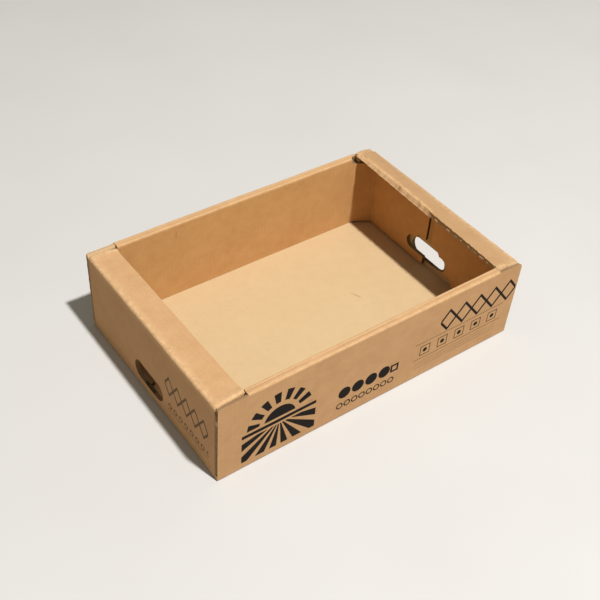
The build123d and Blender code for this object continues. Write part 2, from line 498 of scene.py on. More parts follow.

# %% [markdown]
# ## Marks that follow the sheet
#
# Print, flute lines and the pale creases, worn and with a painted highlight, all belong to the flat
# sheet. So while it is still flat, its own x and y become a UV map, its height in the board becomes
# the attribute "depth", and the nearness of a crease becomes "crease". Once folded, they bend with
# it.

# %% Write the marks
def crease_amount(x, y):
    """1 on a crease or the crushed edge, less along the rims, and 0 from 6 mm away."""
    crushed = (x > shelf_line) & (y > crushed_from)
    x, y = np.abs(x), np.abs(y)
    reach, rim_extra = 6.0 * MM, 2.5 * MM
    gap = np.full_like(x, 1.0)
    in_end, in_wall = y < end_span + hair, y > base_y - reach
    for start, radius, where in ((base_x, fold_radius, in_end), (shelf_line, shelf_radius, in_end)):
        distance = np.maximum(start - x, x - start - quarter_turn * radius)
        gap = np.where(where, np.minimum(gap, np.maximum(distance, 0)), gap)
    for start in (base_y, rim_line, rim_fold):
        distance = np.maximum(start - y, y - start - quarter_turn * fold_radius)
        distance = np.maximum(distance, 0) + rim_extra
        where = (x < rim_end + hair) | (start == base_y)
        gap = np.where(in_wall & where, np.minimum(gap, np.maximum(distance, 0)), gap)
    distance = np.maximum(lug_line - y, y - lug_line - quarter_turn * shelf_radius)
    in_shelf = (x > shelf_line) & (y < lug_reach + hair)
    gap = np.where(in_shelf, np.minimum(gap, np.maximum(distance, 0)), gap)
    gap = np.where(crushed, np.minimum(gap, shelf_end - x), gap)
    return np.clip(1 - gap / reach, 0, 1)


def write_marks(piece, crease=True):
    """UV map and attributes from the flat coordinates."""
    mesh = piece.data
    flat = np.zeros(len(mesh.vertices) * 3)
    mesh.vertices.foreach_get("co", flat)
    flat = flat.reshape(-1, 3)
    corner_vertex = np.zeros(len(mesh.loops), int)
    mesh.loops.foreach_get("vertex_index", corner_vertex)
    while mesh.uv_layers:
        mesh.uv_layers.remove(mesh.uv_layers[0])
    uv = mesh.uv_layers.new(name="sheet")
    uv.data.foreach_set("uv", flat[corner_vertex][:, :2].ravel())
    depth = mesh.attributes.new("depth", "FLOAT", "POINT")
    depth.data.foreach_set("value", (flat[:, 2] / board).astype(np.float32))
    near = mesh.attributes.new("crease", "FLOAT", "POINT")
    amount = crease_amount(flat[:, 0], flat[:, 1]) * crease
    near.data.foreach_set("value", amount.astype(np.float32))
    return flat


sheet_flat = write_marks(sheet)
print("marks on", len(sheet_flat), "points")

# %% Tell the papers and the raw edges apart
outer_paper, inner_paper, raw = range(3)
for surface in (outer_paper, inner_paper, raw):
    sheet.data.materials.append(None)
for face in sheet.data.polygons:
    middle = face.center
    crushed = middle.x > shelf_end - hair and middle.y > crushed_from
    if middle.z < hair and face.normal.z < -0.5:
        face.material_index = outer_paper
    elif middle.z > board - hair and face.normal.z > 0.5:
        face.material_index = inner_paper
    elif crushed and middle.z < board - paper:
        face.material_index = outer_paper
    else:
        face.material_index = raw
for surface, title in ((outer_paper, "outer"), (inner_paper, "inner"), (raw, "raw")):
    print(title, sum(face.material_index == surface for face in sheet.data.polygons), "faces")


# %% [markdown]
# ## Fold it up
#
# Blender's Bend works only in a window, so the fold is written out. A path says, for one chain
# of panels, how far each crease turns, how wide its bend is and how long the next panel is. A
# point that lies so far along the sheet, and so deep in it, is carried round the bends. On the
# inside of a sharp fold there is no room for the board: there it is squeezed onto the mitre line.

# %% The folding
pinch = 0.01


def lay(path, along, depth):
    """Carry points along a path of (angle, radius, length): how far out and up they come."""
    out, up = along.copy(), depth.copy()
    corner, heading, start = np.zeros(2), 0.0, 0.0

    def put(where, spot):
        out[where], up[where] = spot[0][where], spot[1][where]

    for angle, radius, length in path:
        way = np.array([math.cos(heading), math.sin(heading)])
        inward = np.array([-way[1], way[0]])
        arc = radius * abs(angle)
        squeeze = np.maximum(0, depth - radius) * math.tan(max(angle, 0) / 2)
        # Where the inside is pinched to a mitre line, keep its points a hair apart and in order
        across = (math.cos(heading + angle / 2), math.sin(heading + angle / 2))
        apart = pinch * (np.clip(along - start, -squeeze, arc + squeeze) - arc / 2) * (squeeze > 0)
        put(along > start - squeeze,
            [corner[i] - way[i] * squeeze + inward[i] * depth + across[i] * apart for i in (0, 1)])
        bend = 1 if angle > 0 else -1
        centre = corner + bend * radius * inward
        turned = heading + bend * np.clip(along - start, 0, arc) / radius
        reach = np.where(squeeze > 0, np.nan, radius - bend * depth)
        arm = (np.sin(turned) * bend * reach, -np.cos(turned) * bend * reach)
        round_bend = (along > start) & (squeeze <= 0)
        put(round_bend, [centre[i] + arm[i] for i in (0, 1)])
        end_arm = np.array([math.sin(heading + angle), -math.cos(heading + angle)]) * bend * radius
        corner = centre + end_arm
        heading += angle
        start += arc
        way = np.array([math.cos(heading), math.sin(heading)])
        inward = np.array([-way[1], way[0]])
        run = along - start
        put(run > squeeze, [corner[i] + way[i] * run + inward[i] * depth for i in (0, 1)])
        corner = corner + way * length
        start += length
    return out, up


right_angle = ((quarter_turn, fold_radius, half_length),)
out, up = lay(right_angle, np.array([50 * MM]), np.array([0.0]))
print("a point 50 mm past a fold comes", round(out[0], 4), "m out and", round(up[0], 4), "m up")

# %% The paths of the walls, ends, columns and lugs
wall_path = (
    (quarter_turn, fold_radius, rim_line - wall_line),
    (quarter_turn, fold_radius, rim_top),
    (quarter_turn, fold_radius, inner_end - inner_line),
)
end_path = (
    (quarter_turn, fold_radius, shelf_line - end_line),
    (quarter_turn, shelf_radius, shelf_end - shelf_start),
)
column_path = (
    (-column_angle, crease_radius, column_end - column_start),
    (column_angle - quarter_turn, crease_radius, half_width),
)
lug_path = ((quarter_turn, shelf_radius, lug_reach),)
print("creases in the wall's path", len(wall_path), "and in the end's", len(end_path))

# %% [markdown]
# The shelves have sprung up a little, more so the one at the right, and its raw edge has spread
# open. The raw corners are worn round, most of all at the back right.

# %% How the shelves and corners have moved
# Heights in mm at a shelf's front, middle and back: its rise halfway in, its rise at the free
# edge, and how far the raw edge has spread
rises = {
    -1: ((1.5, 0.0, -1.0), (4.0, 0.0, -3.5), (0.5, 0.5, 0.5)),
    1: ((2.5, 6.0, 12.5), (4.0, 11.0, 11.0), (0.5, 4.0, -2.5)),
}
# Radius in mm of each raw corner, by its end and side
worn_corners = {(-1, -1): 3.0, (-1, 1): 3.0, (1, -1): 8.0, (1, 1): 14.0}


def bowed(values, y):
    """Height along a shelf that passes front, middle and back values, in metres."""
    front, middle, back = values
    share = np.clip((y + end_span) / (2 * end_span), 0, 1)
    crown = 2 * middle - (front + back) / 2
    return MM * ((1 - share) ** 2 * front + 2 * share * (1 - share) * crown + share**2 * back)


def smooth(low, high, value):
    """0 below low, 1 above high, and a smooth rise between them."""
    share = np.clip((value - low) / (high - low), 0, 1)
    return share * share * (3 - 2 * share)


print("free edge of the right shelf rises", rises[1][1], "mm at its front, middle and back")


# %% Fold the long walls
def fold_walls(flat, new, in_end):
    """Raise the long walls and roll their rims over into the inner panels."""
    x, y, depth = flat.T
    side, end = np.where(y < 0, -1, 1), np.where(x < 0, -1, 1)
    out, up = lay(wall_path, np.abs(y) - base_y, depth)
    wall = (np.abs(y) > base_y - 2 * fold_squeeze) & ~(in_end & (np.abs(x) > base_x))
    new[wall, 1], new[wall, 2] = (side * (base_y + out))[wall], up[wall]

    # The raw corners are worn round, and the wear dies out below them
    worn_height = 45 * MM
    for (corner_end, corner_side), radius in worn_corners.items():
        radius *= MM
        panel = wall & (np.abs(y) < rim_line + hair) & (end == corner_end) & (side == corner_side)
        inset = np.clip(np.abs(x) - (half_length - radius), 0, radius)
        drop = radius - np.sqrt(radius**2 - inset**2)
        share = np.clip((new[:, 2] - (bare_height - worn_height)) / worn_height, 0, 1)
        new[panel, 2] -= (drop * share)[panel]

    # A shallow groove runs along each rim, and the bare tops rise towards the rim's ends
    groove, top_rise = 0.9 * MM, 2.0 * MM
    folded = wall & (np.abs(y) > rim_middle + hair) & (np.abs(y) < rim_fold - hair)
    inside = rim_top / 2 - np.abs(np.abs(y) - rim_middle - rim_top / 2)
    new[folded, 2] -= groove * smooth(0, 3.8 * MM, inside)[folded]
    top = wall & (np.abs(y) > rim_line - 6 * MM) & (np.abs(y) < rim_line + hair)
    top &= np.abs(x) > rim_end - hair
    new[top, 2] += top_rise * (1 - smooth(rim_end, rim_end + 8 * MM, np.abs(x)))[top]


# %% Turn the corner columns and end flaps
def turn_flaps(flat, new):
    """Turn the corner columns and end flaps about their upright creases."""
    x, y, depth = flat.T
    side, end = np.where(y < 0, -1, 1), np.where(x < 0, -1, 1)
    flap = (np.abs(y) > flap_line - hair) & (np.abs(x) > column_line)
    out, inward = lay(column_path, np.abs(x) - column_line, depth)
    new[flap, 0] = (end * (column_line + out))[flap]
    new[flap, 1] = (side * (inner_y + inward))[flap]

    # The flaps' feet stand clear of the base
    foot_lift = 3.5 * MM
    lifted = smooth(inner_end - 14 * MM, inner_end, np.abs(y))
    lifted = lifted * smooth(column_line, column_line + 5 * MM, np.abs(x))
    new[:, 2] += foot_lift * lifted

    # At the back left the rim's end is drawn to the column, so that the relief is a closed slit
    lean = 1.5 * MM
    rim = (np.abs(y) > rim_line - hair) & (np.abs(x) < rim_end + hair) & (x < 0) & (y > 0)
    fade = 1 - smooth(inner_line, inner_line + 12 * MM, np.abs(y))
    new[:, 0] -= lean * rim * fade * smooth(rim_end - 12 * MM, rim_end, np.abs(x))


# %% Fold the end walls and shelves
def fold_ends(flat, new, in_end):
    """Raise the end walls, fold their shelves in and turn the lugs down."""
    x, y, depth = flat.T
    side, end = np.where(y < 0, -1, 1), np.where(x < 0, -1, 1)
    out, up = lay(end_path, np.abs(x) - base_x, depth)
    new[in_end, 0], new[in_end, 2] = (end * (base_x + out))[in_end], up[in_end]
    lug_out, lug_drop = lay(lug_path, np.abs(y) - lug_line, depth)
    amount = smooth(shelf_line - 12 * MM, shelf_start, np.abs(x)) * in_end
    new[:, 1] += amount * (side * (lug_line + lug_out) - y)
    new[:, 2] -= amount * (lug_drop - depth)

    # The shelves rise in a curve from their crease, and their layers spread at the free edge
    shelf_flat = shelf_width - shelf_radius
    layers_deep = np.clip((depth - paper) / (board - 3 * paper), 0, 1)
    for which, (halfway, free, spread) in rises.items():
        share = np.clip((half_length - shelf_radius - np.abs(new[:, 0])) / shelf_flat, 0, 1)
        a, b = bowed(halfway, new[:, 1]), bowed(free, new[:, 1])
        rise = (4 * a - b) * share + (2 * b - 4 * a) * share**2
        shelf = in_end & (end == which) & (np.abs(x) > shelf_line)
        opened = bowed(spread, new[:, 1]) * share * layers_deep
        new[:, 2] += np.where(shelf, rise - opened * (np.abs(new[:, 1]) < lug_line), 0)

    # Ridges run along the folded ends of the left shelf
    ridge_rise = 2.8 * MM
    ridge = in_end & (x < -shelf_line)
    near_lug = smooth(lug_line - 12 * MM, lug_line + 2 * MM, np.abs(y))
    past_crease = smooth(shelf_line, shelf_start + 8 * MM, -x)
    new[:, 2] += ridge_rise * ridge * near_lug * past_crease


def fold_up(flat):
    """Where each point of the flat sheet comes to lie in the tray."""
    x, y = np.abs(flat[:, 0]), np.abs(flat[:, 1])
    in_end = (y < lug_reach + hair) & (x > base_x - 2 * fold_squeeze)
    in_end &= (y < end_span + hair) | (x > shelf_line)
    new = flat.copy()
    fold_walls(flat, new, in_end)
    turn_flaps(flat, new)
    fold_ends(flat, new, in_end)
    return new


rim_point = np.array([[0.0, rim_middle + rim_top / 2, 0.0]])
print("middle of the rim comes to lie at", fold_up(rim_point)[0].round(4))

# %% [markdown]
# Handling has frayed the raw edges. The back half of the right shelf's free edge is crushed: its
# top is rolled back, so it slopes up to the light and is lumpy. The other raw edges are only a
# little ragged, in steps of about two flutes.

# %% Frayed and crushed edges
def ripple(place, phase):
    """An uneven wave of about two flutes, between about -1.2 and 1.2."""
    turn = place * 2 * math.pi / MM
    waves = np.sin(turn / 16.3 + phase)
    waves = waves + 0.7 * np.sin(turn / 9.1 + 2.3 * phase)
    waves = waves + 0.6 * np.sin(turn / 29.0 + 4.1 * phase)
    return waves / 1.8


def fray(flat, points):
    """Move points near the raw edges. The amounts are in millimetres."""
    x, y, depth = flat.T
    end = np.sign(x)
    upper = 1 - depth / board

    # The shelves' free edges: at the right, crushed at the back and torn at the front
    crushed = smooth(crushed_from - 12 * MM, crushed_from + 15 * MM, y) * (x > 0)
    near = smooth(shelf_end - 9 * MM - 8 * MM * crushed, shelf_end, np.abs(x))
    near = near * (np.abs(y) < lug_line)
    lumps = 5.0 + 0.8 * ripple(y, 0.7) + 0.5 * ripple(2.2 * y, 1.9) * ripple(0.21 * y, 0.5)
    inward = crushed * upper * lumps
    inward += crushed * (0.5 + 0.5 * ripple(y, 2.6))
    ragged = np.where(x > 0, 1.2, 0.25) * (1 - crushed)
    tears = 0.6 + 0.6 * ripple(y, 4.0 * np.round(upper)) + 0.3 * ripple(2.7 * y, 1.2 + upper)
    inward += ragged * tears
    points[:, 0] += end * near * inward * MM
    points[:, 2] -= near**2 * crushed * upper * (2.0 + 0.5 * ripple(1.3 * y, 3.3)) * MM
    points[:, 2] += near * (1 - crushed) * (x > 0) * 0.9 * ripple(1.2 * y, 5.1) * (1 - upper) * MM

    # Raw upright ends and bare tops of the long walls
    wall = (np.abs(y) > wall_line) & (np.abs(y) < rim_line + hair)
    near = smooth(half_length - 3 * MM, half_length, np.abs(x))
    near = near * wall * (np.abs(x) < half_length + hair)
    points[:, 0] -= end * near * (0.3 + 0.3 * ripple(y, 1.1 + upper)) * MM
    near = smooth(rim_line - 2 * MM, rim_line, np.abs(y)) * wall * (np.abs(x) > rim_end)
    points[:, 2] -= near * (0.25 + 0.25 * ripple(x, 2.2 + upper)) * MM
    return points


waves = ripple(np.linspace(-half_width, half_width, 401), 0.7)
print("ripple goes from", waves.min().round(2), "to", waves.max().round(2))

# %% [markdown]
# Board is never quite flat. A slow noise moves every point by up to half a millimetre, both
# papers alike, and a quicker one roughens the creases. The noise has a seed, so that each run
# gives the same board. What would leave the tray's own box is held at its face.

# %% Uneven board
noise.seed_set(7)
slow_waves, slow_mm = 11.0, 0.5
quick_waves, quick_mm = 70.0, 0.35
box_low, box_high = np.array(cad_box[0]), np.array(cad_box[1])


def uneven(points, crease):
    """Move each point by noise with so many waves to the metre."""
    moved = points.copy()
    for index, point in enumerate(points):
        spot = Vector(point)
        slow = noise.noise_vector(spot * slow_waves + Vector((3.1, 7.7, 1.9)))
        quick = noise.noise_vector(spot * quick_waves + Vector((9.2, 0.4, 5.5)))
        drift = np.array(slow) * slow_mm * MM
        moved[index] += drift + np.array(quick) * quick_mm * MM * crease[index]
    return np.clip(moved, box_low, box_high)


def finish_piece(piece, flat):
    """Fold a flat piece up, roughen it and shade it."""
    crease = np.zeros(len(flat), np.float32)
    piece.data.attributes["crease"].data.foreach_get("value", crease)
    points = uneven(fray(flat, fold_up(flat)), crease)
    piece.data.vertices.foreach_set("co", points.ravel())
    piece.data.update()
    bpy.ops.object.shade_smooth_by_angle(angle=math.radians(32))
    size = [round(d, 4) for d in piece.dimensions]
    print(piece.name, "has", len(piece.data.polygons), "faces and measures", size)


finish_piece(sheet, sheet_flat)
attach(sheet, "root")
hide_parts("tray")

# %% [markdown]
# ## The wavy layers at the raw edges
#
# Between two papers runs the fluting medium, a paper pressed into waves. A patch of it is a grid
# whose height follows a sine across the waves. Narrow patches fill the slots, so that a look into
# a raw edge meets a wall of the wave, and short ones lie in the recesses of the bare tops. Each
# patch is folded up by the same function as the sheet.

# %% A patch of the wavy layers
medium_thickness = 0.4 * MM
wave_clearance = 0.15 * MM
flute_layers = (
    (paper + wide_flute / 2, wide_flute / 2 - wave_clearance, wide_pitch),
    (board - paper - narrow_flute / 2, narrow_flute / 2 - wave_clearance, narrow_pitch),
)
points_per_wave = 8
patch_step = 8 * MM


def wavy_patch(x_from, x_to, y_from, y_to):
    """The two wavy layers over a rectangle of the flat sheet."""
    patches = []
    for middle, height, pitch in flute_layers:
        across = max(4, math.ceil((x_to - x_from) / pitch * points_per_wave))
        along = max(1, math.ceil((y_to - y_from) / patch_step))
        bpy.ops.mesh.primitive_grid_add(x_subdivisions=across, y_subdivisions=along, size=1)
        patch = bpy.context.object
        for vertex in patch.data.vertices:
            x = x_from + (vertex.co.x + 0.5) * (x_to - x_from)
            y = y_from + (vertex.co.y + 0.5) * (y_to - y_from)
            vertex.co = (x, y, middle + height * math.sin(2 * math.pi * x / pitch))
        patches.append(patch)
    return patches


print("waves", [round(2 * height / MM, 2) for middle, height, pitch in flute_layers], "mm high")

# %% Set the patches into the raw edges
hold = 0.3 * MM
wave_front = 6.0 * MM
patches = []
for end in (-1, 1):
    for side in (-1, 1):
        upright = sorted((side * (wall_line + board), side * (rim_line - recess)))
        depthways = sorted((end * (half_length - slot_depth), end * (half_length - wave_front)))
        patches += wavy_patch(*depthways, *upright)
        bare = sorted((end * (rim_end + hold), end * (half_length - hold)))
        inset = sorted((side * (rim_line - recess), side * (rim_line - hold)))
        patches += wavy_patch(*bare, *inset)
    edge_back = crushed_from if end > 0 else lug_line
    depthways = sorted((end * (shelf_end - shelf_slot_depth), end * (shelf_end - hold)))
    shelf_patches = wavy_patch(*depthways, -lug_line, edge_back)
    # The right shelf's narrow flute is pressed shut, so it gets no wave
    if end > 0:
        bpy.data.objects.remove(shelf_patches.pop())
    patches += shelf_patches
print(len(patches), "wavy patches")

# %% Join the patches and fold them up
bpy.ops.object.select_all(action="DESELECT")
for patch in patches:
    patch.select_set(True)
bpy.context.view_layer.objects.active = patches[0]
bpy.ops.object.join()
flutes = bpy.context.object
flutes.name = flutes.data.name = "fluting_medium"
thicken = flutes.modifiers.new("paper", "SOLIDIFY")
thicken.thickness = medium_thickness
thicken.offset = 0
bpy.ops.object.modifier_apply(modifier=thicken.name)
finish_piece(flutes, write_marks(flutes, crease=False))
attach(flutes, "root")

# %% [markdown]
# ## Kraft paper
#
# Kraft liner is unbleached pulp, so its colour is a warm brown that clouds and streaks with the
# fibres, and it is nearly matt. Colours are chosen as sRGB hex values and turned to linear by one
# function. The patterns read the flat sheet's UV map, so they run round each fold unbroken.

# %% Helpers for colours and nodes
def srgb(hex_colour):
    """An sRGB hex colour as linear red, green, blue and alpha."""
    values = [int(hex_colour[i:i + 2], 16) / 255 for i in (1, 3, 5)]
    return [v / 12.92 if v <= 0.04045 else ((v + 0.055) / 1.055) ** 2.4 for v in values] + [1.0]


def node(tree, kind, inputs=None, **settings):
    """Add a shader node, set its settings, and link or set its inputs."""
    made = tree.nodes.new("ShaderNode" + kind)
    for name, value in settings.items():
        setattr(made, name, value)
    for key, value in (inputs or {}).items():
        if isinstance(value, bpy.types.NodeSocket):
            tree.links.new(value, made.inputs[key])
        else:
            made.inputs[key].default_value = value
    return made


def math_chain(start, *steps):
    """Apply math steps such as ("ADD", 0.2) one after another, in the start's own tree."""
    value = start
    for step in steps:
        inputs = {0: value, **dict(enumerate(step[1:], 1))}
        value = node(start.id_data, "Math", inputs, operation=step[0]).outputs[0]
    return value


def limit(most=1.0):
    """Steps that keep a value between 0 and the most."""
    return ("MAXIMUM", 0.0), ("MINIMUM", most)


def past(middle, half):
    """Steps that give how far past a stretch a place is, and less than 0 inside it."""
    return ("SUBTRACT", middle), ("ABSOLUTE",), ("SUBTRACT", half)


def short_of(other_place):
    """Steps that give how far short of another place a place is."""
    return ("MULTIPLY", -1.0), ("ADD", other_place)


print("middle grey in linear light is", round(srgb("#808080")[0], 3))


# %% Mixes, patterns and new materials
def mix_colour(tree, amount, first, second, blend="MIX"):
    inputs = {0: amount, 6: first, 7: second}
    return node(tree, "Mix", inputs, data_type="RGBA", blend_type=blend).outputs[2]


def pattern(vector, size, detail=2.0, roughness=0.5):
    """Noise with lumps of this size."""
    inputs = {"Vector": vector, "Scale": 1 / size, "Detail": detail, "Roughness": roughness}
    return node(vector.id_data, "TexNoise", inputs).outputs[0]


def new_material(name):
    """A material with the IOR of paper and paint, its node tree and its shader."""
    material = bpy.data.materials.new(name)
    material.use_nodes = True
    shader = material.node_tree.nodes["Principled BSDF"]
    shader.inputs["IOR"].default_value = 1.45
    return material, material.node_tree, shader

# %% Clouds, fibres and flute lines
def paper_patterns(flat):
    """Clouds of 80 mm and of 20 mm, fibres along the machine direction, grain and flute lines."""
    # Fibres show as streaks about 17 mm long and 1.4 mm wide, coarser than real ones
    stretched = node(flat.id_data, "Mapping", {"Vector": flat, "Scale": (60.0, 700.0, 1.0)})
    along = node(flat.id_data, "SeparateXYZ", {0: flat}).outputs[0]
    clouds = pattern(flat, 80 * MM, 4.0, 0.6)
    small_clouds = pattern(flat, 20 * MM, 3.0)
    fibres = pattern(stretched.outputs[0], 1.0, 3.0, 0.6)
    grain = pattern(flat, 1.6 * MM, 2.0, 0.7)
    flute_lines = math_chain(along, ("MULTIPLY", 2 * math.pi / wide_pitch), ("SINE",))
    return clouds, small_clouds, fibres, grain, flute_lines


def paper_colour(tree, patterns, base, pale, deep, mottle):
    """A colour between deep and pale, by how the patterns add up."""
    clouds, small_clouds, fibres, grain, flute_lines = patterns
    tone = math_chain(clouds, ("SUBTRACT", 0.5), ("MULTIPLY", 0.5 * mottle))
    for part, weight in ((small_clouds, 0.35), (fibres, 0.4), (grain, 0.7)):
        share = math_chain(part, ("SUBTRACT", 0.5), ("MULTIPLY", weight * mottle))
        tone = math_chain(tone, ("ADD", share))
    tone = math_chain(tone, ("ADD", math_chain(flute_lines, ("MULTIPLY", 0.02))), ("ADD", 0.5))
    ramp = node(tree, "ValToRGB", {0: tone})
    ramp.color_ramp.elements[0].position = 0.12
    ramp.color_ramp.elements[0].color = srgb(deep)
    ramp.color_ramp.elements[1].position = 0.88
    ramp.color_ramp.elements[1].color = srgb(pale)
    ramp.color_ramp.elements.new(0.5).color = srgb(base)
    return ramp.outputs[0]


# %% Painted shade, painted bounce light and scuffs
def painted_shade_and_bounce(tree, flat, colour):
    """Painted shade darkens the outer paper on the right shelf, and a painted warm bounce light
    tints the inner panels.
    """
    x, y = node(tree, "SeparateXYZ", {0: flat}).outputs[:2]
    # Painted shade on the right shelf, kept off its crushed back edge
    shelf_shade = math_chain(x, ("SUBTRACT", shelf_line), ("DIVIDE", 8 * MM), *limit(0.24))
    not_crushed = math_chain(x, *short_of(shelf_end - 7 * MM), ("DIVIDE", 6 * MM))
    front_part = math_chain(y, *short_of(crushed_from), ("DIVIDE", 12 * MM))
    not_crushed = math_chain(not_crushed, ("MAXIMUM", front_part), ("MAXIMUM", 0.0))
    shelf_shade = math_chain(shelf_shade, ("MINIMUM", not_crushed))
    colour = mix_colour(tree, shelf_shade, colour, srgb("#6f553c"))
    # Painted warm bounce light on the inner panels, past the rim's fold
    bounce_share = math_chain(y, ("ABSOLUTE",), ("SUBTRACT", rim_fold), ("DIVIDE", 8 * MM), *limit())
    warm_bounce = mix_colour(tree, 1.0, colour, [1.13, 1.05, 0.84, 1.0], "MULTIPLY")
    return mix_colour(tree, bounce_share, colour, warm_bounce)


def draw_scuff_and_shade_strokes(tree, flat, colour, scuff_and_shade_strokes):
    """Scratches and dents, and painted shade in the front rim's groove and behind the torn relief,
    show as short brown strokes: start, stop and width in mm.
    """
    for start, stop, width in scuff_and_shade_strokes:
        start, stop = Vector(start) * MM, Vector(stop) * MM
        middle, run = (start + stop) / 2, stop - start
        inputs = {"Vector": flat, "Location": (*middle, 0),
                  "Rotation": (0, 0, math.atan2(run.y, run.x)),
                  "Scale": (run.length / 2, width * MM / 2, 1)}
        spot = node(tree, "Mapping", inputs, vector_type="TEXTURE").outputs[0]
        away = node(tree, "VectorMath", {0: spot}, operation="LENGTH").outputs["Value"]
        mark = math_chain(away, ("MULTIPLY", -2.0), ("ADD", 2.0), *limit(0.55))
        colour = mix_colour(tree, mark, colour, srgb("#7b5632"))
    return colour


# %% The look of kraft liner
def kraft_liner(name, base, pale, deep, wear_and_highlight, mottle, scuff_and_shade_strokes, ink=None):
    """Kraft paper with clouds, fibres, specks, flute lines, pale creases that are worn and painted
    as highlights, scuffs and painted shade.
    """
    material, tree, shader = new_material(name)
    flat = node(tree, "UVMap", uv_map="sheet").outputs[0]
    crease = node(tree, "Attribute", attribute_name="crease").outputs["Fac"]
    patterns = paper_patterns(flat)
    small_clouds, fibres, grain, flute_lines = patterns[1:]
    colour = paper_colour(tree, patterns, base, pale, deep, mottle)
    if ink is not None:
        colour = painted_shade_and_bounce(tree, flat, colour)

    # Dark specks of bark, about 1 mm: the peaks of a pattern of 2.2 mm
    specks = pattern(flat, 2.2 * MM, 1.0)
    specks = math_chain(specks, ("SUBTRACT", 0.70), ("MULTIPLY", 9.0), *limit(0.45))
    colour = mix_colour(tree, specks, colour, srgb("#5f3f24"))

    # Creases are rubbed pale, unevenly, and the paleness is also a painted highlight along the
    # folds
    rub = math_chain(pattern(flat, 7 * MM, 3.0, 0.65), ("SUBTRACT", 0.32), ("MULTIPLY", 1.8))
    rubbing_and_highlight = math_chain(crease, ("MULTIPLY", rub), ("MULTIPLY", 0.6), *limit(0.85))
    colour = mix_colour(tree, rubbing_and_highlight, colour, srgb(wear_and_highlight))
    if ink is not None:
        colour = mix_colour(tree, ink(tree, flat, grain), colour, srgb("#0f0805"))
    tree.links.new(draw_scuff_and_shade_strokes(tree, flat, colour, scuff_and_shade_strokes), shader.inputs["Base Color"])
    rough = math_chain(small_clouds, ("MULTIPLY", 0.16), ("ADD", 0.70))
    tree.links.new(rough, shader.inputs["Roughness"])
    shader.inputs["Specular IOR Level"].default_value = 0.2

    # Relief in millimetres: washboard of the flutes, grain, and crumpled creases
    crumple = pattern(flat, 4 * MM, 3.0, 0.6)
    crumple = math_chain(crumple, ("MULTIPLY", crease), ("MULTIPLY", 0.5))
    relief = math_chain(flute_lines, ("MULTIPLY", 0.012))
    for part, weight in ((grain, 0.08), (small_clouds, 0.15), (fibres, 0.05)):
        relief = math_chain(relief, ("ADD", math_chain(part, ("MULTIPLY", weight))))
    relief = math_chain(relief, ("ADD", crumple))
    bump = node(tree, "Bump", {"Height": relief, "Distance": MM, "Strength": 1.0})
    tree.links.new(bump.outputs[0], shader.inputs["Normal"])
    return material


# %% [markdown]
# ## Print
#
# Such trays are printed flat in one dark ink by flexography, so the ink is part of the paper's
# colour, with soft edges and small voids. The marks are generic: a fan of wedges round a half
# disc, rows of discs, rings and lozenges, small framed dots and thin rules. Each is a distance in
# metres that is worked out on the panel, from sizes in millimetres. Where it is below zero there
# is ink. Both long panels, and both ends, carry the same print, read from outside.

# %% Helpers for printed marks
def union(first, *others):
    """Ink where any of the marks has it."""
    return math_chain(first, *(("MINIMUM", other) for other in others))


def within(mark, window):
    """Ink only where the window is too."""
    return math_chain(mark, ("MAXIMUM", window))


def box(across, up, left, right, bottom, top):
    """A rectangle, by its sides."""
    one = math_chain(across, *past((left + right) / 2 * MM, (right - left) / 2 * MM))
    other = math_chain(up, *past((bottom + top) / 2 * MM, (top - bottom) / 2 * MM))
    return within(one, other)


def disc(across, up, middle, height, radius):
    """A disc, by its middle and radius."""
    one = math_chain(across, ("SUBTRACT", middle * MM), ("POWER", 2.0))
    other = math_chain(up, ("SUBTRACT", height * MM), ("POWER", 2.0))
    return math_chain(one, ("ADD", other), ("SQRT",), ("SUBTRACT", radius * MM))


def outline(mark, width):
    """A line of this width along the edge of a mark."""
    return math_chain(mark, ("ABSOLUTE",), ("SUBTRACT", width / 2 * MM))


def repeat(across, first, pitch):
    """Position within a row of equal cells, from -pitch/2 to pitch/2."""
    return math_chain(across, ("SUBTRACT", first * MM), ("WRAP", pitch / 2 * MM, -pitch / 2 * MM))


def lozenges(across, up, first, pitch, middle, height):
    """A row of standing lozenges, as a distance to their edges."""
    near = math_chain(repeat(across, first, pitch), ("ABSOLUTE",), ("MULTIPLY", height / pitch))
    tall = math_chain(up, ("SUBTRACT", middle * MM), ("ABSOLUTE",))
    return math_chain(near, ("ADD", tall), ("SUBTRACT", height / 2 * MM), ("MULTIPLY", 0.55))


# %% A fan of wedges round a half disc
fan_x, fan_z = -190, 74


def fan_marks(across, up):
    """Wedges above and below a bar, spread from the middle of a half disc."""
    run = math_chain(across, ("SUBTRACT", fan_x * MM))
    rise = math_chain(up, ("SUBTRACT", fan_z * MM))
    turn = math_chain(rise, ("ARCTAN2", run))
    radius = disc(across, up, fan_x, fan_z, 0)

    def wedges(pitch, half):
        """Rays of a fan, by angles in degrees."""
        pitch, half = math.radians(pitch), math.radians(half)
        bent = math_chain(turn, ("WRAP", pitch / 2, -pitch / 2), ("ABSOLUTE",), ("SUBTRACT", half))
        return math_chain(bent, ("MULTIPLY", radius))

    upper_half = box(across, up, -262, -118, 80, 138)
    half_disc = within(disc(across, up, fan_x, fan_z, 29), upper_half)
    upper = within(wedges(24, 6.5), outline(disc(across, up, fan_x, fan_z, 49), 22))
    upper = within(upper, upper_half)
    lower = within(wedges(20, 6.0), box(across, up, -258, -122, 14, 64))
    bar = box(across, up, -258, -122, 68, 75)
    return union(half_disc, upper, lower, bar)


